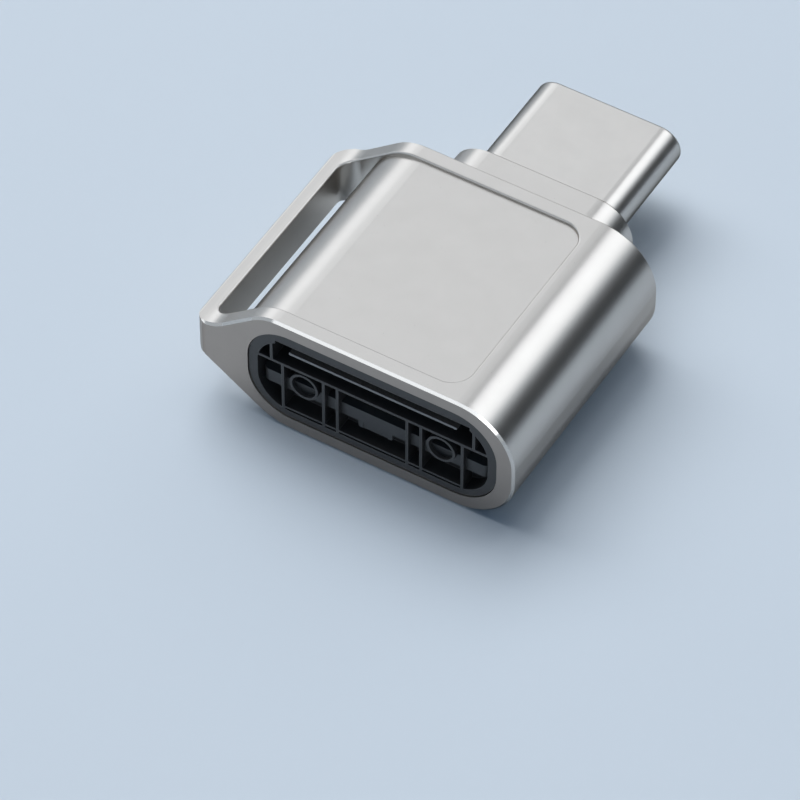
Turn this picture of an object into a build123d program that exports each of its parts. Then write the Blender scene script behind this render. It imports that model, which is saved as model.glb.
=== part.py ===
from build123d import *
import os

# USB memory card reader: cast casing with a strap loop, card slot insert, board and USB-C plug.
# Millimetres. X = 0 is the plug's axis, +Y runs along the plug, Z = 0 is the flat underside.

# Casing
body_length = 13.9
body_height = 7.3
slot_side = 2.35
side_flat = 0.9
side_wall = 0.95
roof_wall = 0.78
back_wall = 1.0
edge_break = 0.12

# Strap loop at the left of the casing
strap_gap = 1.42
bar_thickness = 0.72
bar_top_rise = 1.34
bar_land = 1.09
shoulder_inset = 1.85
heel_inset = 2.3
heel_rise = 3.0
shoulder_round = 2.4
foot_round = 1.9
bar_top_round = 0.12
bar_heel_round = 0.6
heel_round = 3.4
loop_front_round = 0.8
loop_back_round = 1.4
strap_front_round = 0.5
strap_back_round = 0.9

# Shallow recess on top, which runs over the left shoulder into the strap slot
rim_width = 0.92
recess_depth = 0.17
recess_right_inset = 3.5
recess_round = 1.2
core_land = 0.25
mouth_break = 0.1
pick_near = 0.005

# Collar behind the casing, which holds the plug
collar_length = 2.7
collar_side = 1.02
collar_roof = 0.85
collar_break = 0.15

# Plug shell: a drawn tube with a flange that rests on the casing's back wall
plug_width = 8.25
plug_height = 2.4
plug_reach = 6.65
plug_sheet = 0.3
plug_fit = 0.02
plug_nose_round = 0.2
flange_thickness = 0.4
flange_margin = 0.35

# Plug housing and contact carriers
mouth_setback = 0.15
mouth_depth = 5.6
mouth_side = 0.43
mouth_half_height = 0.42
mouth_round = 0.3
carrier_length = 3.0
housing_fit = 0.02

# Plug contacts
contact_count = 12
contact_pitch = 0.5
contact_width = 0.25
contact_sheet = 0.15
contact_rise = 0.525
contact_bend = 0.12
bow_nose = 0.3
contact_fit = 0.02
groove_end_setback = 1.5
tail_length = 0.75
tail_lead = 0.1
tail_run = 0.4
bow_length = 3.3
bow_dip = 0.15
bow_end_setback = 0.15

# Latch plate between the two rows of contacts
latch_sheet = 0.15
latch_gap = 0.045
latch_arm_width = 0.3
latch_web_setback = 0.36
latch_hook = 0.2
latch_hook_length = 0.8
latch_tip_setback = 1.4
latch_fit = 0.04

# Shield springs, one above and one below the mouth
shield_half_width = 2.7
shield_length = 1.15
shield_sheet = 0.1
shield_setback = 0.2
finger_width = 0.8
finger_pitch = 1.8
finger_length = 0.65
finger_dip = 0.06
finger_fit = 0.06

# Memory card that the slot takes, and its play
card_width = 11.0
card_side_play = 0.1
card_thickness = 0.7
card_play = 0.06
card_stop_gap = 0.3

# Slot insert
insert_setback = 0.08
insert_fit = 0.03
insert_depth = 2.2
lip_width = 0.5
field_drop = 0.12
pocket_depth = 0.9
rib = 0.15
centre_pocket_half = 1.96
rib_pair_gap = 0.78
rib_end_inset = 0.55
foot_rib = 0.1
foot_gap = 0.14
boss_place = 3.85
boss_drop = 0.25
boss_radius = 0.8
boss_wall = 0.13
chip_window_fit = 0.2

# Circuit board
board_thickness = 0.8
board_drop = 0.82
board_land = 0.3
board_front_setback = 0.3
board_back_gap = 0.8
board_corner = 0.4
board_fit = 0.03

# Card socket
cover_sheet = 0.15
cover_headroom = 0.5
cover_side = 0.5
cover_bend = 0.3
cover_tongue_inset = 0.9
cover_front_setback = 0.06
cover_stop_depth = 0.55
cover_stop_half = 3.0
cover_window_width = 2.4
cover_window_length = 3.6
cover_finger_width = 1.0
cover_finger_length = 3.0
base_gap = 0.05
base_fit = 0.02
base_back_setback = 0.87
base_wall = 0.6
base_floor = 0.4
spring_count = 8
spring_pitch = 1.1
spring_offset = -0.4
spring_width = 0.4
spring_sheet = 0.12
spring_bend = 0.15
spring_channel_fit = 0.08
spring_channel_depth = 0.55
spring_rise = 0.24
spring_tip_inset = 0.6
spring_channel_end = 0.3
spring_nose = 0.5
spring_root = 1.6
spring_tail = 0.6
detect_inset = 0.4
detect_width = 0.5
detect_rise = 0.22
detect_length = 0.55

# Chips on the underside of the board
chip_size = 4.0
chip_height = 0.85
chip_setback = 4.4
chip_bevel = 0.15
terminal_count = 6
terminal_pitch = 0.5
terminal_width = 0.25
terminal_length = 0.35
terminal_height = 0.2
terminal_proud = 0.03
bulk_length = 1.9
bulk_width = 1.25
bulk_height = 0.45
bulk_setback = 0.05
bulk_round = 0.12
small_length = 1.0
small_width = 0.5
capacitor_height = 0.5
resistor_height = 0.35
end_cap = 0.25
end_cap_proud = 0.02
small_gap = 0.9
small_pitch = 1.1
capacitor_rows = 3
resistor_count = 3
resistor_pitch = 1.8

# Widths set by the card
slot_half = card_width / 2 + card_side_play
body_half_width = slot_half + slot_side
cover_half_width = slot_half + cover_side
cover_tongue_half = slot_half - cover_tongue_inset
board_half_width = cover_half_width + board_land
detect_place = slot_half - detect_inset

# Heights
mid = body_height / 2
corner_radius = (body_height - side_flat) / 2
opening_width = 2 * (body_half_width - side_wall)
opening_height = body_height - 2 * roof_wall
opening_radius = corner_radius - roof_wall
board_top = mid - board_drop + board_thickness / 2
board_bottom = board_top - board_thickness

# Places along the reader
front = -body_length / 2
back = body_length / 2
cavity_back = back - back_wall
plug_rear = cavity_back - flange_thickness
collar_end = back + collar_length
plug_tip = collar_end + plug_reach
housing_tip = plug_tip - mouth_setback
housing_rear = plug_rear + carrier_length
insert_front = front + insert_setback
insert_back = insert_front + insert_depth
board_front = insert_front + board_front_setback
board_back = plug_rear - board_back_gap
strap_front = front + rim_width
strap_back = back - rim_width

# Places across the reader
loop_reach = body_half_width + strap_gap + bar_thickness
strap_outer = loop_reach - bar_thickness
shoulder_x = body_half_width - shoulder_inset
foot_x = loop_reach - bar_land
heel_x = body_half_width - heel_inset
core_x = body_half_width - corner_radius - core_land
recess_right = body_half_width - recess_right_inset

# Slot insert: outline, field inside its lip and the card slot, heights from mid height
insert_width = opening_width - 2 * insert_fit
insert_height = opening_height - 2 * insert_fit
insert_radius = opening_radius - insert_fit
field_width = insert_width - 2 * lip_width
field_height = insert_height - 2 * lip_width
field_radius = insert_radius - lip_width
field_top = field_height / 2 - field_drop
field_foot = -field_height / 2 - field_drop
cover_top_rise = field_top - cover_headroom
cover_under_rise = cover_top_rise - cover_sheet
slot_floor_rise = cover_under_rise - card_thickness - card_play
slot_floor = mid + slot_floor_rise
cover_under = mid + cover_under_rise
cover_top = mid + cover_top_rise

# Card socket
base_front = insert_back + base_gap
base_back = board_back - base_back_setback
base_length = base_back - base_front
base_half = cover_half_width - cover_sheet - base_fit
card_stop = plug_rear - card_stop_gap
channel_floor = slot_floor - spring_channel_depth
spring_places = [spring_offset + (i - (spring_count - 1) / 2) * spring_pitch for i in range(spring_count)]

# Plug interior, heights from mid height
shell_inner_width = plug_width - 2 * plug_sheet
shell_inner_height = plug_height - 2 * plug_sheet
housing_width = shell_inner_width - 2 * housing_fit
housing_height = shell_inner_height - 2 * housing_fit
mouth_half_width = housing_width / 2 - mouth_side
mouth_back = housing_tip - mouth_depth
groove_end = housing_tip - groove_end_setback
contact_places = [(i - (contact_count - 1) / 2) * contact_pitch for i in range(contact_count)]
tail_bend = board_back + tail_lead
tail_end = tail_bend - tail_length
bow_end = groove_end - bow_end_setback
latch_tip = housing_tip - latch_tip_setback
latch_arm_inner = mouth_half_width + latch_gap
latch_arm_outer = latch_arm_inner + latch_arm_width
latch_rear = plug_rear + latch_fit
latch_web_length = housing_rear - latch_web_setback - latch_rear
shield_front = housing_tip - shield_setback
shield_back = shield_front - shield_length
finger_places = [-finger_pitch, 0, finger_pitch]


def section_plane(y):
    """Plane across the reader at y, with its own Y up from mid height; extrude by a minus runs to +Y."""
    return Plane(origin=(0, y, mid), x_dir=(1, 0, 0), z_dir=(0, -1, 0))


os.makedirs("parts", exist_ok=True)

# Casing
with BuildPart() as casing:
    with BuildSketch(section_plane(front)):
        with BuildLine():
            FilletPolyline(
                (body_half_width, mid),
                (-shoulder_x, mid),
                (-foot_x, bar_top_rise),
                (-loop_reach, bar_top_rise),
                (-loop_reach, heel_rise - mid),
                (-heel_x, -mid),
                (body_half_width, -mid),
                radius=[
                    corner_radius,
                    shoulder_round,
                    foot_round,
                    bar_top_round,
                    bar_heel_round,
                    heel_round,
                    corner_radius,
                ],
                close=True,
            )
        make_face()
    extrude(amount=-body_length)
    # Broken edges all round the front and back faces
    chamfer(casing.faces().sort_by(Axis.Y)[0].edges(), edge_break)
    chamfer(casing.faces().sort_by(Axis.Y)[-1].edges(), edge_break)
    # Rounded corners of the loop, seen from above
    with BuildSketch(Plane.XY):
        with BuildLine():
            FilletPolyline(
                (-loop_reach, front),
                (body_half_width, front),
                (body_half_width, back),
                (-loop_reach, back),
                radius=[loop_front_round, 0, 0, loop_back_round],
                close=True,
            )
        make_face()
    extrude(amount=body_height, mode=Mode.INTERSECT)
    skin = casing.part.shell()
    # Strap slot, cut as far as the flat of the body
    with BuildSketch(Plane.XY):
        with BuildLine():
            FilletPolyline(
                (-strap_outer, strap_front),
                (-core_x, strap_front),
                (-core_x, strap_back),
                (-strap_outer, strap_back),
                radius=[strap_front_round, 0, 0, strap_back_round],
                close=True,
            )
        make_face()
    extrude(amount=body_height, mode=Mode.SUBTRACT)
    # Round left side of the body inside the strap slot
    with BuildSketch(section_plane(strap_front)):
        with BuildLine():
            FilletPolyline(
                (-core_x, mid - recess_depth),
                (-body_half_width, mid - recess_depth),
                (-body_half_width, -mid),
                (-core_x, -mid),
                radius=[0, corner_radius - recess_depth, corner_radius, 0],
                close=True,
            )
        make_face()
    extrude(amount=strap_front - strap_back)
    # Recess on top
    with BuildSketch(Plane.XY.offset(body_height - recess_depth)):
        with BuildLine():
            FilletPolyline(
                (-core_x, strap_front),
                (recess_right, strap_front),
                (recess_right, strap_back),
                (-core_x, strap_back),
                radius=[0, recess_round, recess_round, 0],
                close=True,
            )
        make_face()
    extrude(amount=recess_depth, mode=Mode.SUBTRACT)
    # Rounded edge round the mouth of the strap slot and the recess
    mouth_edges = [
        edge
        for edge in casing.edges()
        if strap_front - pick_near < (edge @ 0.5).Y < strap_back + pick_near
        and -strap_outer - pick_near < (edge @ 0.5).X < recess_right + pick_near
        and (edge @ 0.5).Z > mid
        and skin.distance_to(edge @ 0.5) < pick_near
    ]
    fillet(mouth_edges, mouth_break)
    # Cavity, open at the front
    with BuildSketch(section_plane(front)):
        RectangleRounded(opening_width, opening_height, opening_radius)
    extrude(amount=front - cavity_back, mode=Mode.SUBTRACT)
    # Collar and the bore that the plug passes through
    with BuildSketch(section_plane(back)):
        SlotOverall(plug_width + 2 * collar_side, plug_height + 2 * collar_roof)
    extrude(amount=-collar_length)
    chamfer(casing.faces().sort_by(Axis.Y)[-1].edges(), collar_break)
    with BuildSketch(section_plane(cavity_back)):
        SlotOverall(plug_width + 2 * plug_fit, plug_height + 2 * plug_fit)
    extrude(amount=cavity_back - collar_end, mode=Mode.SUBTRACT)
casing.part.label = "casing"
export_step(casing.part, "parts/casing.step")

# Slot insert
with BuildPart() as slot_insert:
    with BuildSketch(section_plane(insert_front)):
        RectangleRounded(insert_width, insert_height, insert_radius)
    extrude(amount=-insert_depth)
    with BuildSketch(section_plane(insert_front)):
        with Locations((0, -field_drop)):
            RectangleRounded(field_width, field_height, field_radius)
    extrude(amount=-pocket_depth, mode=Mode.SUBTRACT)
    # Ribs and round bosses, flush with the lip
    frame_half = slot_half - rib_end_inset
    rib_places = [centre_pocket_half, centre_pocket_half + rib_pair_gap, frame_half]
    with BuildSketch(section_plane(insert_front)):
        with Locations(*[(side * x, field_foot) for x in rib_places for side in (-1, 1)]):
            Rectangle(rib, slot_floor_rise - field_foot, align=(Align.CENTER, Align.MIN))
        with Locations((0, slot_floor_rise)):
            with GridLocations(2 * slot_half + rib, 0, 2, 1):
                Rectangle(rib, field_top - slot_floor_rise, align=(Align.CENTER, Align.MIN))
        with Locations((0, field_foot + foot_gap)):
            Rectangle(2 * frame_half, foot_rib, align=(Align.CENTER, Align.MIN))
        with Locations((0, slot_floor_rise - rib / 2)):
            Rectangle(field_width, rib)
        with Locations((-boss_place, -boss_drop), (boss_place, -boss_drop)):
            Circle(boss_radius)
            Circle(boss_radius - boss_wall, mode=Mode.SUBTRACT)
    extrude(amount=-pocket_depth)
    # Way for the card, and above it the room for the socket cover's front tongue
    with BuildSketch(section_plane(insert_front)):
        with Locations((0, slot_floor_rise)):
            Rectangle(2 * slot_half, card_thickness + card_play, align=(Align.CENTER, Align.MIN))
            Rectangle(2 * slot_half - 2 * rib, field_top - slot_floor_rise, align=(Align.CENTER, Align.MIN))
    extrude(amount=-insert_depth, mode=Mode.SUBTRACT)
    # Slot that takes the front of the board, and a window under it for the capacitor
    with BuildSketch(section_plane(board_front - board_fit)):
        with Locations((0, -board_drop)):
            Rectangle(2 * (board_half_width + board_fit), board_thickness + 2 * board_fit)
        with Locations((0, -board_drop - board_thickness / 2)):
            window_height = bulk_height + chip_window_fit
            Rectangle(2 * centre_pocket_half - rib, window_height, align=(Align.CENTER, Align.MAX))
    extrude(amount=-insert_depth, mode=Mode.SUBTRACT)
slot_insert.part.label = "slot_insert"
export_step(slot_insert.part, "parts/slot_insert.step")

# Circuit board
with BuildPart() as circuit_board:
    with BuildSketch(Plane.XY.offset(board_bottom)):
        with Locations((0, (board_front + board_back) / 2)):
            RectangleRounded(2 * board_half_width, board_back - board_front, board_corner)
    extrude(amount=board_thickness)
circuit_board.part.label = "circuit_board"
export_step(circuit_board.part, "parts/circuit_board.step")

# Controller chip, a flat package with terminals along its four sides
chip_y = board_front + chip_setback + chip_size / 2
with BuildPart() as controller_chip:
    with BuildSketch(Plane.XY.offset(board_bottom - chip_height)):
        with Locations((0, chip_y)):
            Rectangle(chip_size, chip_size)
    extrude(amount=chip_height)
    chamfer(controller_chip.edges().filter_by(Axis.Z).sort_by(Axis.Y)[:1], chip_bevel)
    with BuildSketch(Plane.XY.offset(board_bottom)):
        terminal_reach = chip_size / 2 + terminal_proud - terminal_length / 2
        with Locations((0, chip_y)):
            with PolarLocations(terminal_reach, 4):
                with GridLocations(0, terminal_pitch, 1, terminal_count):
                    Rectangle(terminal_length, terminal_width)
    extrude(amount=-terminal_height)
controller_chip.part.label = "controller_chip"
export_step(controller_chip.part, "parts/controller_chip.step")

# Bulk capacitor under the board's front edge
bulk_y = board_front + bulk_setback + bulk_width / 2
with BuildPart() as bulk_capacitor:
    with BuildSketch(Plane.XY.offset(board_bottom - end_cap_proud)):
        with Locations((0, bulk_y)):
            Rectangle(bulk_length, bulk_width)
    extrude(amount=-(bulk_height - 2 * end_cap_proud))
    with BuildSketch(Plane.XY.offset(board_bottom)):
        with Locations((0, bulk_y)):
            with GridLocations(bulk_length - end_cap, 0, 2, 1):
                Rectangle(end_cap + end_cap_proud, bulk_width + 2 * end_cap_proud)
    extrude(amount=-bulk_height)
    fillet(bulk_capacitor.edges().filter_by(Axis.Y).group_by(Axis.Z)[0].sort_by(Axis.X)[::3], bulk_round)
bulk_capacitor.part.label = "bulk_capacitor"
export_step(bulk_capacitor.part, "parts/bulk_capacitor.step")

# Small ceramic capacitors beside the chip
capacitor_reach = chip_size / 2 + small_gap + small_width / 2
with BuildPart() as ceramic_capacitors:
    with BuildSketch(Plane.XY.offset(board_bottom - end_cap_proud)):
        with Locations((0, chip_y)):
            with GridLocations(2 * capacitor_reach, small_pitch + small_width, 2, capacitor_rows):
                Rectangle(small_width, small_length)
    extrude(amount=-(capacitor_height - 2 * end_cap_proud))
    with BuildSketch(Plane.XY.offset(board_bottom)):
        with Locations((0, chip_y)):
            with GridLocations(2 * capacitor_reach, small_pitch + small_width, 2, capacitor_rows):
                with GridLocations(0, small_length - end_cap, 1, 2):
                    Rectangle(small_width + 2 * end_cap_proud, end_cap + end_cap_proud)
    extrude(amount=-capacitor_height)
ceramic_capacitors.part.label = "ceramic_capacitors"
export_step(ceramic_capacitors.part, "parts/ceramic_capacitors.step")

# Flat chip resistors in front of the chip
resistor_y = chip_y - chip_size / 2 - small_gap
with BuildPart() as chip_resistors:
    with BuildSketch(Plane.XY.offset(board_bottom - end_cap_proud)):
        with Locations((0, resistor_y)):
            with GridLocations(resistor_pitch, 0, resistor_count, 1):
                Rectangle(small_length, small_width)
    extrude(amount=-(resistor_height - 2 * end_cap_proud))
    with BuildSketch(Plane.XY.offset(board_bottom)):
        with Locations((0, resistor_y)):
            with GridLocations(resistor_pitch, 0, resistor_count, 1):
                with GridLocations(small_length - end_cap, 0, 2, 1):
                    Rectangle(end_cap + end_cap_proud, small_width + 2 * end_cap_proud)
    extrude(amount=-resistor_height)
chip_resistors.part.label = "chip_resistors"
export_step(chip_resistors.part, "parts/chip_resistors.step")

# Card socket: moulded base with side rails, hollow below, and a channel for each contact spring
with BuildPart() as socket_base:
    with BuildSketch(Plane.XY.offset(board_top)):
        with Locations((0, (base_front + base_back) / 2)):
            Rectangle(2 * base_half, base_length)
    extrude(amount=cover_under - base_fit - board_top)
    chamfer(socket_base.edges().filter_by(Axis.Y).group_by(Axis.Z)[-1], cover_bend - cover_sheet)
    with BuildSketch(Plane.XY.offset(slot_floor)):
        with Locations((0, (base_front + base_back) / 2)):
            Rectangle(2 * slot_half, base_length)
    extrude(amount=cover_under - slot_floor, mode=Mode.SUBTRACT)
    with BuildSketch(Plane.XY.offset(board_top)):
        with Locations((0, base_front + spring_root)):
            Rectangle(
                2 * slot_half - 2 * base_wall,
                base_length - spring_root - base_wall,
                align=(Align.CENTER, Align.MIN),
            )
    extrude(amount=channel_floor - base_floor - board_top, mode=Mode.SUBTRACT)
    with BuildSketch(Plane.XY.offset(channel_floor)):
        with Locations(*[(x, base_front) for x in spring_places]):
            Rectangle(
                spring_width + 2 * spring_channel_fit,
                base_length - spring_channel_end,
                align=(Align.CENTER, Align.MIN),
            )
    extrude(amount=cover_under - channel_floor, mode=Mode.SUBTRACT)
    with BuildSketch(Plane.XY.offset(board_top)):
        with Locations(*[(x, base_front) for x in spring_places]):
            Rectangle(
                spring_width + 2 * spring_channel_fit,
                spring_tail + 2 * spring_sheet,
                align=(Align.CENTER, Align.MIN),
            )
    extrude(amount=slot_floor - board_top, mode=Mode.SUBTRACT)
socket_base.part.label = "socket_base"
export_step(socket_base.part, "parts/socket_base.step")

# Contact springs of the socket: solder tail, riser, root in the channel and a bowed arm
spring_rise_y = base_front + spring_tail
spring_tip_y = base_back - spring_tip_inset
with BuildPart() as socket_contacts:
    with BuildSketch(*[Plane.YZ.offset(x) for x in spring_places]):
        with BuildLine():
            FilletPolyline(
                (base_front, board_top),
                (spring_rise_y, board_top),
                (spring_rise_y, channel_floor),
                (spring_rise_y + spring_root, channel_floor),
                (spring_tip_y - spring_nose, slot_floor + spring_rise),
                (spring_tip_y, slot_floor),
                radius=[0, 0, spring_bend, spring_bend],
            )
            offset(amount=spring_sheet, side=Side.LEFT, kind=Kind.INTERSECTION)
        make_face()
    extrude(amount=spring_width / 2, both=True)
socket_contacts.part.label = "socket_contacts"
export_step(socket_contacts.part, "parts/socket_contacts.step")

# Card detect spring behind the base, pressed down by the card's end
detect_front = base_back + base_gap
detect_back = detect_front + detect_length
with BuildPart() as card_detect_spring:
    with BuildSketch(Plane.YZ.offset(detect_place)):
        with BuildLine():
            FilletPolyline(
                (detect_back, board_top),
                (detect_front, board_top),
                (detect_front, (board_top + slot_floor) / 2),
                (detect_back, slot_floor + detect_rise),
                radius=spring_bend,
            )
            offset(amount=spring_sheet, side=Side.RIGHT)
        make_face()
    extrude(amount=detect_width / 2, both=True)
card_detect_spring.part.label = "card_detect_spring"
export_step(card_detect_spring.part, "parts/card_detect_spring.step")

# Sheet steel cover of the socket, with a front tongue, hold-down fingers and a stop for the card
with BuildPart() as socket_cover:
    with BuildSketch(section_plane(base_front)):
        with BuildLine():
            FilletPolyline(
                (-cover_half_width, board_top - mid),
                (-cover_half_width, cover_top_rise),
                (cover_half_width, cover_top_rise),
                (cover_half_width, board_top - mid),
                radius=cover_bend,
            )
            offset(amount=cover_sheet, side=Side.RIGHT)
        make_face()
    extrude(amount=-base_length)
    cover_front = insert_front + cover_front_setback
    with BuildSketch(Plane.XY.offset(cover_under)):
        with Locations((0, cover_front)):
            Rectangle(2 * cover_tongue_half, base_front - cover_front, align=(Align.CENTER, Align.MIN))
        with Locations((0, base_back)):
            Rectangle(
                2 * cover_tongue_half,
                card_stop + cover_sheet - base_back,
                align=(Align.CENTER, Align.MIN),
            )
    extrude(amount=cover_sheet)
    with BuildSketch(Plane.XY.offset(cover_top)):
        with Locations((0, card_stop)):
            Rectangle(2 * cover_stop_half, cover_sheet, align=(Align.CENTER, Align.MIN))
    extrude(amount=-cover_stop_depth)
    with BuildSketch(Plane.XY.offset(cover_under)):
        with Locations((0, (base_front + base_back) / 2)):
            with GridLocations(2 * (cover_tongue_half - cover_window_width / 2), 0, 2, 1):
                Rectangle(cover_window_width, cover_window_length)
                with Locations((0, cover_window_length / 2)):
                    Rectangle(
                        cover_finger_width,
                        cover_finger_length,
                        align=(Align.CENTER, Align.MAX),
                        mode=Mode.SUBTRACT,
                    )
    extrude(amount=cover_sheet, mode=Mode.SUBTRACT)
socket_cover.part.label = "socket_cover"
export_step(socket_cover.part, "parts/socket_cover.step")

# Plug shell
with BuildPart() as plug_shell:
    with BuildSketch(section_plane(plug_rear)):
        SlotOverall(plug_width, plug_height)
    extrude(amount=plug_rear - plug_tip)
    fillet(plug_shell.faces().sort_by(Axis.Y)[-1].edges(), plug_nose_round)
    with BuildSketch(section_plane(plug_rear)):
        SlotOverall(plug_width + 2 * flange_margin, plug_height + 2 * flange_margin)
    extrude(amount=-flange_thickness)
    with BuildSketch(section_plane(plug_rear)):
        SlotOverall(shell_inner_width, shell_inner_height)
    extrude(amount=plug_rear - plug_tip, mode=Mode.SUBTRACT)
plug_shell.part.label = "plug_shell"
export_step(plug_shell.part, "parts/plug_shell.step")

# Plug housing: mouth for the socket's tongue, grooves for contacts, slots for latches and springs
with BuildPart() as plug_housing:
    with BuildSketch(section_plane(housing_rear)):
        SlotOverall(housing_width, housing_height)
    extrude(amount=housing_rear - housing_tip)
    with BuildSketch(section_plane(mouth_back)):
        RectangleRounded(2 * mouth_half_width, 2 * mouth_half_height, mouth_round)
    extrude(amount=-mouth_depth, mode=Mode.SUBTRACT)
    groove_height = contact_rise + contact_sheet + contact_fit - mouth_half_height
    with BuildSketch(section_plane(housing_rear)):
        with GridLocations(contact_pitch, 2 * mouth_half_height + groove_height, contact_count, 2):
            Rectangle(contact_width + 2 * contact_fit, groove_height)
    extrude(amount=housing_rear - groove_end, mode=Mode.SUBTRACT)
    with BuildSketch(section_plane(housing_rear)):
        with GridLocations(latch_arm_inner + latch_arm_outer, 0, 2, 1):
            Rectangle(latch_arm_outer - latch_arm_inner + 2 * latch_fit, latch_sheet + 2 * latch_fit)
    extrude(amount=housing_rear - latch_tip - latch_fit, mode=Mode.SUBTRACT)
    with BuildSketch(section_plane(mouth_back)):
        with GridLocations(2 * mouth_half_width, 0, 2, 1):
            Rectangle(2 * latch_hook, latch_sheet + 2 * latch_fit)
    extrude(amount=mouth_back - latch_tip - latch_fit, mode=Mode.SUBTRACT)
    with BuildSketch(section_plane(shield_back - finger_fit)):
        with GridLocations(0, housing_height, 1, 2):
            Rectangle(2 * (shield_half_width + finger_fit), 2 * (shield_sheet + housing_fit))
    extrude(amount=-(shield_length + 2 * finger_fit), mode=Mode.SUBTRACT)
    with BuildSketch(Plane.XY):
        with Locations((0, (shield_front + shield_back) / 2)):
            with GridLocations(finger_pitch, 0, len(finger_places), 1):
                Rectangle(finger_width + 2 * finger_fit, shield_length)
    extrude(amount=body_height, mode=Mode.SUBTRACT)
plug_housing.part.label = "plug_housing"
export_step(plug_housing.part, "parts/plug_housing.step")

# Contact carriers behind the housing, one for each row, with the latch plate between them
carrier_split = latch_sheet / 2
for side, label in ((1, "upper_contact_carrier"), (-1, "lower_contact_carrier")):
    with BuildPart() as carrier:
        with BuildSketch(section_plane(plug_rear)):
            SlotOverall(housing_width, housing_height)
            with Locations((0, side * (carrier_split - housing_height))):
                Rectangle(housing_width, 2 * housing_height, mode=Mode.SUBTRACT)
            with Locations((0, side * (contact_rise + contact_sheet / 2))):
                with GridLocations(contact_pitch, 0, contact_count, 1):
                    Rectangle(
                        contact_width + 2 * contact_fit,
                        contact_sheet + 2 * contact_fit,
                        mode=Mode.SUBTRACT,
                    )
        extrude(amount=-carrier_length)
    carrier.part.label = label
    export_step(carrier.part, f"parts/{label}.step")

# Two rows of plug contacts, from the solder tail on the board to the bowed end in the mouth
contact_rows = (
    (1, board_top, Side.LEFT, "upper_contacts"),
    (-1, board_bottom, Side.RIGHT, "lower_contacts"),
)
for side, pad_height, outer_side, label in contact_rows:
    with BuildPart() as contacts:
        with BuildSketch(*[Plane.YZ.offset(x) for x in contact_places]):
            with BuildLine():
                FilletPolyline(
                    (tail_end, pad_height),
                    (tail_bend, pad_height),
                    (tail_bend + tail_run, mid + side * contact_rise),
                    (bow_end - bow_length, mid + side * contact_rise),
                    (bow_end - bow_nose, mid + side * (mouth_half_height - bow_dip)),
                    (bow_end, mid + side * mouth_half_height),
                    radius=[0, 0, contact_bend, contact_bend],
                )
                offset(amount=contact_sheet, side=outer_side, kind=Kind.INTERSECTION)
            make_face()
        extrude(amount=contact_width / 2, both=True)
    contacts.part.label = label
    export_step(contacts.part, f"parts/{label}.step")

# Latch plate: a web between the carriers and an arm with a hook along each side of the mouth
with BuildPart() as latch_plate:
    with BuildSketch(Plane.XY.offset(mid - latch_sheet / 2)):
        with Locations((0, latch_rear)):
            Rectangle(2 * latch_arm_outer, latch_web_length, align=(Align.CENTER, Align.MIN))
        with BuildLine():
            Polyline(
                (latch_arm_outer, latch_rear),
                (latch_arm_outer, latch_tip),
                (latch_arm_inner, latch_tip),
                (latch_arm_inner - latch_hook, latch_tip - latch_hook_length / 2),
                (latch_arm_inner, latch_tip - latch_hook_length),
                (latch_arm_inner, latch_rear),
                close=True,
            )
        make_face()
        mirror(about=Plane.YZ)
    extrude(amount=latch_sheet)
latch_plate.part.label = "latch_plate"
export_step(latch_plate.part, "parts/latch_plate.step")

# Shield springs: a strip under the shell's roof or floor, with fingers that reach into the mouth
shield_seat = housing_height / 2 - shield_sheet
shield_rows = (
    (1, Side.LEFT, "upper_shield_spring"),
    (-1, Side.RIGHT, "lower_shield_spring"),
)
for side, outer_side, label in shield_rows:
    with BuildPart() as shield_spring:
        with BuildSketch(section_plane(shield_back)):
            with Locations((0, side * (shield_seat + shield_sheet / 2))):
                Rectangle(2 * shield_half_width, shield_sheet)
        extrude(amount=shield_back - shield_front)
        with BuildSketch(Plane.XY.offset(mid)):
            with Locations((0, shield_back + finger_fit)):
                with GridLocations(finger_pitch, 0, len(finger_places), 1):
                    Rectangle(
                        finger_width + 2 * finger_fit,
                        finger_length + finger_fit,
                        align=(Align.CENTER, Align.MIN),
                    )
        extrude(amount=side * mid, mode=Mode.SUBTRACT)
        with BuildSketch(*[Plane.YZ.offset(x) for x in finger_places]):
            with BuildLine():
                Polyline(
                    (shield_back + 2 * finger_fit, mid + side * (mouth_half_height - finger_dip)),
                    (shield_back + finger_length + finger_fit, mid + side * shield_seat),
                    (shield_front, mid + side * shield_seat),
                )
                offset(amount=shield_sheet, side=outer_side)
            make_face()
        extrude(amount=finger_width / 2, both=True)
    shield_spring.part.label = label
    export_step(shield_spring.part, f"parts/{label}.step")
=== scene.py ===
import math

import bpy
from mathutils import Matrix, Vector


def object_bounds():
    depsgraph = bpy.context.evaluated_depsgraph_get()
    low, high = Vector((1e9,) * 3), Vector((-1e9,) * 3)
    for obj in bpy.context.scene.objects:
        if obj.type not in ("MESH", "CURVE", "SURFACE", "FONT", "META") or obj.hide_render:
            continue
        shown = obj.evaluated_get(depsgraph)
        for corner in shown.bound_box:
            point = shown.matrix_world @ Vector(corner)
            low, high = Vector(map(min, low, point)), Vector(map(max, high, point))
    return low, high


# Metres throughout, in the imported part's own frame.
MM = 0.001

# Camera, set to the photograph's view
camera_azimuth = 31.093
camera_elevation = 48.18
camera_distance = 0.27867
camera_lens = 260.83
camera_sensor = 36.0
camera_reach = (0.01, 20.0)
camera_target = Vector((0.000904, -0.005739, 0.00416))

# Stage: the floor as it shows, the tint of every light, and the fill in the shadows
floor_size = 6.0
floor_shown = (0.585, 0.66, 0.738)
daylight = (0.95, 1.0, 1.065)
ambient = (0.075, 0.13, 0.21)
card_colour = (0.03, 0.03, 0.03)

# Finishes, and the masks for painted shade and painted highlights at a part's front and along its
# sharp edges
front_depth = 0.13 * MM
slant_play = 0.1
edge_cosine = 0.75
ramp_ends = (0.3, 0.7)

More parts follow.
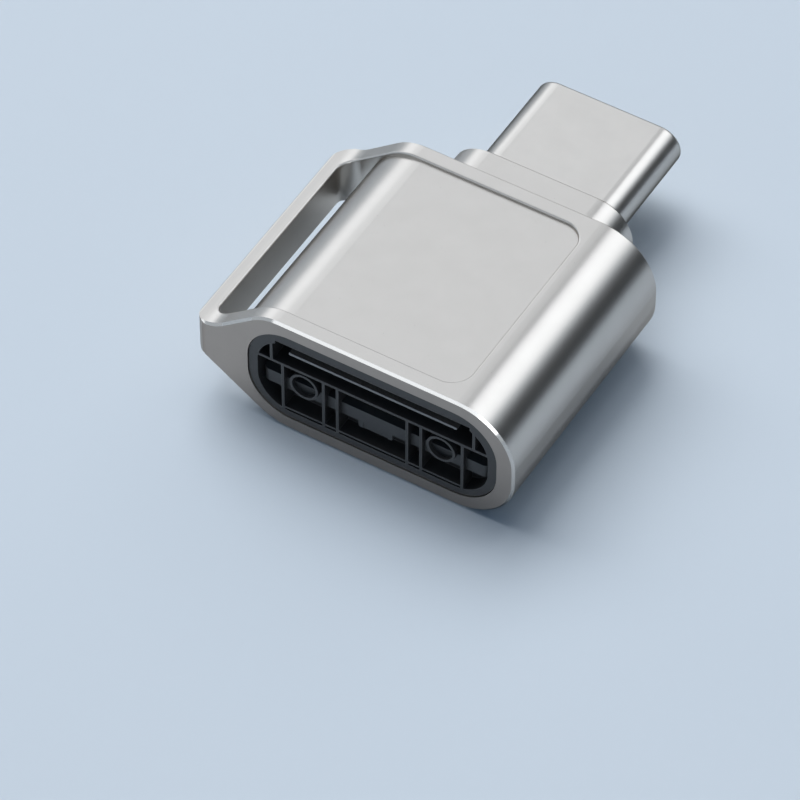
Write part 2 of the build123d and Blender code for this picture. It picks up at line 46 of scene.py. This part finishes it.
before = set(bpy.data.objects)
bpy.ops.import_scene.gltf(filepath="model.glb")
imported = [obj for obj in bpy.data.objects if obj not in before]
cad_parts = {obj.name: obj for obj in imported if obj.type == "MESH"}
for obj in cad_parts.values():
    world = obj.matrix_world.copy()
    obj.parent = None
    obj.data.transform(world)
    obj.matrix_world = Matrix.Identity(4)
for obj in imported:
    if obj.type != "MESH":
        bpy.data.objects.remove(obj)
cad_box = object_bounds()


def direction(azimuth, elevation):
    """Unit vector from the object; azimuth 0 is the front, 90 the right side."""
    a, e = math.radians(azimuth), math.radians(elevation)
    return Vector((math.sin(a) * math.cos(e), -math.cos(a) * math.cos(e), math.sin(e)))


def add_object(name, data):
    obj = bpy.data.objects.new(name, data)
    bpy.context.scene.collection.objects.link(obj)
    return obj


# Materials

class Nodes:
    """A new material's node tree, with short calls to add and join nodes."""

    def __init__(self, name):
        self.material = bpy.data.materials.new(name)
        self.material.use_nodes = True
        self.tree = self.material.node_tree
        self.shader = self.tree.nodes["Principled BSDF"]

    def add(self, kind, **values):
        node = self.tree.nodes.new("ShaderNode" + kind)
        for key, value in values.items():
            if key in node.inputs:
                node.inputs[key].default_value = value
            else:
                setattr(node, key, value)
        return node

    def join(self, output, target):
        self.tree.links.new(output, target)

    def position_mm(self, stretch=(1, 1, 1)):
        """Place on the part in millimetres, stretched for grain that runs one way."""
        coordinates = self.add("TexCoord")
        mapping = self.add("Mapping", Scale=[s / MM for s in stretch])
        self.join(coordinates.outputs["Object"], mapping.inputs["Vector"])
        return mapping.outputs["Vector"]

    def noise(self, place, scale, detail=3.0, roughness=0.5):
        texture = self.add("TexNoise", Scale=scale, Detail=detail, Roughness=roughness)
        self.join(place, texture.inputs["Vector"])
        return texture.outputs["Fac"]

    def between(self, value, low, high):
        """The value from 0 to 1 as a number from low to high."""
        node = self.add("MapRange")
        node.inputs["To Min"].default_value = low
        node.inputs["To Max"].default_value = high
        self.join(value, node.inputs["Value"])
        return node.outputs["Result"]

    def colours(self, value, *shades):
        """The value from 0 to 1 as a colour between two shades."""
        ramp = self.add("ValToRGB")
        for element, place, shade in zip(ramp.color_ramp.elements, ramp_ends, shades):
            element.position = place
            element.color = (*shade, 1)
        self.join(value, ramp.inputs["Fac"])
        return ramp.outputs["Color"]

    def rounded(self, radius):
        """Normals that round off each sharp edge."""
        node = self.add("Bevel", samples=6)
        node.inputs["Radius"].default_value = radius
        return node.outputs["Normal"]

    def edges(self, radius):
        """From 0 on open faces to 1 along sharp edges."""
        node = self.add("VectorMath", operation="DOT_PRODUCT")
        self.join(self.rounded(radius), node.inputs[0])
        self.join(self.add("NewGeometry").outputs["Normal"], node.inputs[1])
        ramp = self.add("MapRange")
        ramp.inputs["From Min"].default_value = 1.0
        ramp.inputs["From Max"].default_value = edge_cosine
        self.join(node.outputs["Value"], ramp.inputs["Value"])
        return ramp.outputs["Result"]

    def at_front(self, slant):
        """1 at the very front of the part where the surface faces -Y by this much, 0 elsewhere."""
        slope = self.add("SeparateXYZ")
        self.join(self.add("NewGeometry").outputs["Normal"], slope.inputs[0])
        tilted = self.add("Math", operation="COMPARE")
        tilted.inputs[1].default_value = -slant
        tilted.inputs[2].default_value = slant_play
        self.join(slope.outputs["Y"], tilted.inputs[0])
        place = self.add("SeparateXYZ")
        self.join(self.add("TexCoord").outputs["Object"], place.inputs[0])
        near = self.add("Math", operation="LESS_THAN")
        near.inputs[1].default_value = cad_box[0][1] + front_depth
        self.join(place.outputs["Y"], near.inputs[0])
        both = self.add("Math", operation="MULTIPLY")
        self.join(tilted.outputs["Value"], both.inputs[0])
        self.join(near.outputs["Value"], both.inputs[1])
        return both.outputs["Value"]

    def mixed(self, share, first, second):
        """A number that goes from the first to the second as the share rises."""
        node = self.add("Mix")
        self.join(share, node.inputs["Factor"])
        self.join(first, node.inputs["A"])
        self.join(second, node.inputs["B"])
        return node.outputs["Result"]

    def tinted(self, share, colour, tint, blend_type="MIX"):
        """A colour that takes on a tint as the share rises."""
        node = self.add("MixRGB", blend_type=blend_type, Color2=(*tint, 1))
        self.join(share, node.inputs["Fac"])
        self.join(colour, node.inputs["Color1"])
        return node.outputs["Color"]

    def paint(self, colour, roughness):
        self.join(colour, self.shader.inputs["Base Color"])
        self.join(roughness, self.shader.inputs["Roughness"])

    def bump(self, height, strength, depth, normal=None):
        node = self.add("Bump", Strength=strength, Distance=depth)
        if normal:
            self.join(normal, node.inputs["Normal"])
        self.join(height, node.inputs["Height"])
        self.join(node.outputs["Normal"], self.shader.inputs["Normal"])

    def set(self, **values):
        for key, value in values.items():
            self.shader.inputs[key.replace("_", " ")].default_value = value


def satin_casting():
    """Tumbled and plated zinc: fine soft grain, the front face painted darker as painted shade, and
    its broken edge polished.
    """
    nodes = Nodes("satin_casting")
    place = nodes.position_mm()
    cloud = nodes.noise(place, scale=0.7, detail=2.0)
    grain = nodes.noise(place, scale=14.0, detail=4.0, roughness=0.6)
    silver = nodes.colours(cloud, (0.575, 0.548, 0.514), (0.593, 0.565, 0.531))
    # Painted shade: the colour of the front face is multiplied darker.
    colour = nodes.tinted(nodes.at_front(1.0), silver, (0.71, 0.66, 0.63), "MULTIPLY")
    satin = nodes.between(grain, 0.26, 0.31)
    polished = nodes.between(grain, 0.1, 0.14)
    broken_edge = nodes.at_front(math.sqrt(0.5))
    nodes.paint(colour, nodes.mixed(broken_edge, satin, polished))
    nodes.bump(grain, strength=0.04, depth=0.004 * MM)
    nodes.set(Metallic=1.0, Specular_Tint=(0.5, 0.46, 0.43, 1))
    return nodes.material


def drawn_steel():
    """Nickel plated sheet, drawn along the plug."""
    nodes = Nodes("drawn_steel")
    lines = nodes.noise(nodes.position_mm((1, 0.06, 1)), scale=16.0, detail=4.0, roughness=0.6)
    cloud = nodes.noise(nodes.position_mm(), scale=0.9, detail=2.0)
    colour = nodes.colours(cloud, (0.594, 0.567, 0.533), (0.618, 0.59, 0.554))
    nodes.paint(colour, nodes.between(lines, 0.26, 0.34))
    nodes.bump(lines, strength=0.05, depth=0.004 * MM)
    nodes.set(Metallic=1.0, Specular_Tint=(0.05, 0.046, 0.043, 1))
    return nodes.material


def dull_tin():
    """Thin tinned sheet, grey and matt."""
    nodes = Nodes("dull_tin")
    grain = nodes.noise(nodes.position_mm(), scale=10.0, roughness=0.55)
    colour = nodes.colours(grain, (0.2, 0.2, 0.203), (0.26, 0.26, 0.263))
    nodes.paint(colour, nodes.between(grain, 0.42, 0.55))
    nodes.bump(grain, strength=0.05, depth=0.004 * MM)
    nodes.set(Metallic=1.0)
    return nodes.material


def black_moulding():
    """Spark textured black plastic, with painted light: the front face painted lighter and a painted
    highlight along its sharp edges.
    """
    nodes = Nodes("black_moulding")
    place = nodes.position_mm()
    grain = nodes.noise(place, scale=12.0, roughness=0.55)
    cloud = nodes.noise(place, scale=0.8, detail=2.0)
    black = nodes.colours(cloud, (0.023, 0.0215, 0.0205), (0.03, 0.028, 0.027))
    # Painted light: the colour at the front face is made lighter.
    front_painted_light = nodes.tinted(nodes.at_front(1.0), black, (0.055, 0.051, 0.048))
    # Painted highlight: a lighter colour along the sharp edges.
    edge_painted_highlight = nodes.tinted(nodes.edges(0.09 * MM), front_painted_light, (0.13, 0.122, 0.114))
    nodes.paint(edge_painted_highlight, nodes.between(grain, 0.38, 0.52))
    nodes.bump(grain, strength=0.12, depth=0.01 * MM, normal=nodes.rounded(0.05 * MM))
    return nodes.material


def solder_mask():
    """Black lacquered board with the weave just showing through."""
    nodes = Nodes("solder_mask")
    place = nodes.position_mm()
    weave = nodes.add("TexWave", Scale=2.2, Distortion=0.6, bands_direction="X")
    nodes.join(place, weave.inputs["Vector"])
    cloud = nodes.noise(place, scale=1.5)
    colour = nodes.colours(cloud, (0.06, 0.057, 0.054), (0.071, 0.068, 0.064))
    nodes.paint(colour, nodes.between(cloud, 0.3, 0.42))
    nodes.bump(weave.outputs["Fac"], strength=0.08, depth=0.01 * MM)
    return nodes.material


def gold_plate():
    """Thin gold on springs, with fine lines along them."""
    nodes = Nodes("gold_plate")
    cloud = nodes.noise(nodes.position_mm(), scale=3.0)
    lines = nodes.noise(nodes.position_mm((1, 0.1, 1)), scale=20.0)
    colour = nodes.colours(cloud, (0.72, 0.5, 0.2), (0.8, 0.57, 0.25))
    nodes.paint(colour, nodes.between(lines, 0.2, 0.32))
    nodes.bump(lines, strength=0.05, depth=0.004 * MM)
    nodes.set(Metallic=1.0)
    return nodes.material


def fired_ceramic():
    """Dark speckled body of the capacitors."""
    nodes = Nodes("fired_ceramic")
    speckle = nodes.noise(nodes.position_mm(), scale=9.0, detail=4.0, roughness=0.65)
    colour = nodes.colours(speckle, (0.06, 0.058, 0.056), (0.078, 0.075, 0.072))
    nodes.paint(colour, nodes.between(speckle, 0.4, 0.55))
    nodes.bump(speckle, strength=0.1, depth=0.01 * MM)
    return nodes.material


def moulded_epoxy():
    """Matt black case of the chips."""
    nodes = Nodes("moulded_epoxy")
    speckle = nodes.noise(nodes.position_mm(), scale=18.0, detail=4.0, roughness=0.65)
    colour = nodes.colours(speckle, (0.012, 0.012, 0.013), (0.02, 0.02, 0.021))
    nodes.paint(colour, nodes.between(speckle, 0.5, 0.65))
    nodes.bump(speckle, strength=0.12, depth=0.008 * MM)
    return nodes.material


finishes = {
    "cast_metal": satin_casting(),
    "plug_steel": drawn_steel(),
    "cover_tin": dull_tin(),
    "black_plastic": black_moulding(),
    "board": solder_mask(),
    "contact_gold": gold_plate(),
    "ceramic_body": fired_ceramic(),
    "chip_black": moulded_epoxy(),
}
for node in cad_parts.values():
    for place, old in enumerate(node.data.materials):
        node.data.materials[place] = finishes[old.name.split(".")[0]]


# Stage: floor, dark cards, lights and world

def plane(name, width, height):
    x, y = width / 2, height / 2
    mesh = bpy.data.meshes.new(name)
    mesh.from_pydata([(-x, -y, 0), (x, -y, 0), (x, y, 0), (-x, y, 0)], [], [(0, 1, 2, 3)])
    return add_object(name, mesh)


def paper(name, colour):
    """Matt paper, all but even in colour."""
    nodes = Nodes(name)
    fibre = nodes.noise(nodes.position_mm(), scale=0.02)
    shades = [tuple(c * f for c in colour) for f in (0.995, 1.005)]
    nodes.join(nodes.colours(fibre, *shades), nodes.shader.inputs["Base Color"])
    nodes.set(Roughness=0.9, Specular_IOR_Level=0.0)
    return nodes.material


def aim(obj, way, distance):
    """Puts an object out along a direction, with its face to the part and out of the picture."""
    obj.location = way * distance
    obj.rotation_mode = "QUATERNION"
    obj.rotation_quaternion = way.to_track_quat("Z", "Y")
    obj.visible_camera = False


def dark_card(name, way, distance, width, height):
    """A dark panel that puts a dark line between two lights in the metal."""
    card = plane(name, width, height)
    card.data.materials.append(dark_paper)
    aim(card, way, distance)


def softbox(name, way, distance, width, height, radiance):
    """A glowing panel that the metal mirrors."""
    panel = plane(name, width, height)
    nodes = Nodes(name)
    nodes.set(Base_Color=(0, 0, 0, 1), Specular_IOR_Level=0.0)
    nodes.set(Emission_Color=(*daylight, 1), Emission_Strength=radiance)
    panel.data.materials.append(nodes.material)
    aim(panel, way, distance)
    return panel


def lamp(name, way, distance, width, height, radiance):
    """An area lamp of the same brightness as a softbox of that radiance."""
    data = bpy.data.lights.new(name, "AREA")
    data.shape = "RECTANGLE"
    data.size = width
    data.size_y = height
    data.energy = radiance * math.pi * width * height
    data.color = daylight
    obj = add_object(name, data)
    aim(obj, way, distance)
    return obj


floor = plane("floor", floor_size, floor_size)
floor_colour = [shown / light for shown, light in zip(floor_shown, daylight)]
floor.data.materials.append(paper("pale_paper", floor_colour))

dark_paper = paper("dark_paper", card_colour)
dark_card("side_card", direction(126, 15), distance=0.55, width=0.8, height=0.3)
dark_card("gap_card", direction(187, 55), distance=0.55, width=0.06, height=0.4)
dark_card("front_card", direction(316, 60), distance=0.6, width=0.4, height=0.22)

softbox("ceiling", direction(213, 50), distance=2.0, width=4.8, height=2.6, radiance=1.08)

# The key lamp makes the shadow and is kept out of the metal's mirror.
key = lamp("key", direction(240, 60), distance=1.6, width=1.7, height=1.7, radiance=3.3)
key.visible_glossy = False

# These make the bright bands in the metal and are kept off matt surfaces.
mirrored = [
    softbox("right_softbox", direction(157, 51), distance=0.6, width=0.42, height=0.26, radiance=2.0),
    softbox("left_softbox", direction(229, 28), distance=0.6, width=0.4, height=0.2, radiance=1.7),
    lamp("front_strip", direction(355, 34), distance=0.8, width=0.8, height=0.12, radiance=1.1),
    lamp("corner_light", direction(27, 22), distance=0.8, width=0.35, height=0.3, radiance=2.4),
]
for light in mirrored:
    light.visible_diffuse = False

# The world looks like the floor, to the camera and in reflections, and fills the shadows.
world = bpy.data.worlds.new("studio")
world.use_nodes = True
tree = world.node_tree
path = tree.nodes.new("ShaderNodeLightPath")


def sky(colour):
    node = tree.nodes.new("ShaderNodeBackground")
    node.inputs["Color"].default_value = (*colour, 1)
    return node.outputs["Background"]


surround = sky(ambient)
for ray in ("Camera", "Glossy", "Transmission"):
    mix = tree.nodes.new("ShaderNodeMixShader")
    tree.links.new(path.outputs["Is " + ray + " Ray"], mix.inputs["Fac"])
    tree.links.new(surround, mix.inputs[1])
    tree.links.new(sky(floor_shown), mix.inputs[2])
    surround = mix.outputs["Shader"]
tree.links.new(surround, tree.nodes["World Output"].inputs["Surface"])
bpy.context.scene.world = world

# Camera
camera = add_object("camera", bpy.data.cameras.new("camera"))
camera.data.lens = camera_lens
camera.data.sensor_width = camera_sensor
camera.data.clip_start, camera.data.clip_end = camera_reach
view = direction(camera_azimuth, camera_elevation)
camera.location = camera_target + view * camera_distance
camera.rotation_mode = "QUATERNION"
camera.rotation_quaternion = view.to_track_quat("Z", "Y")
bpy.context.scene.camera = camera
bpy.context.scene.view_settings.view_transform = "Standard"
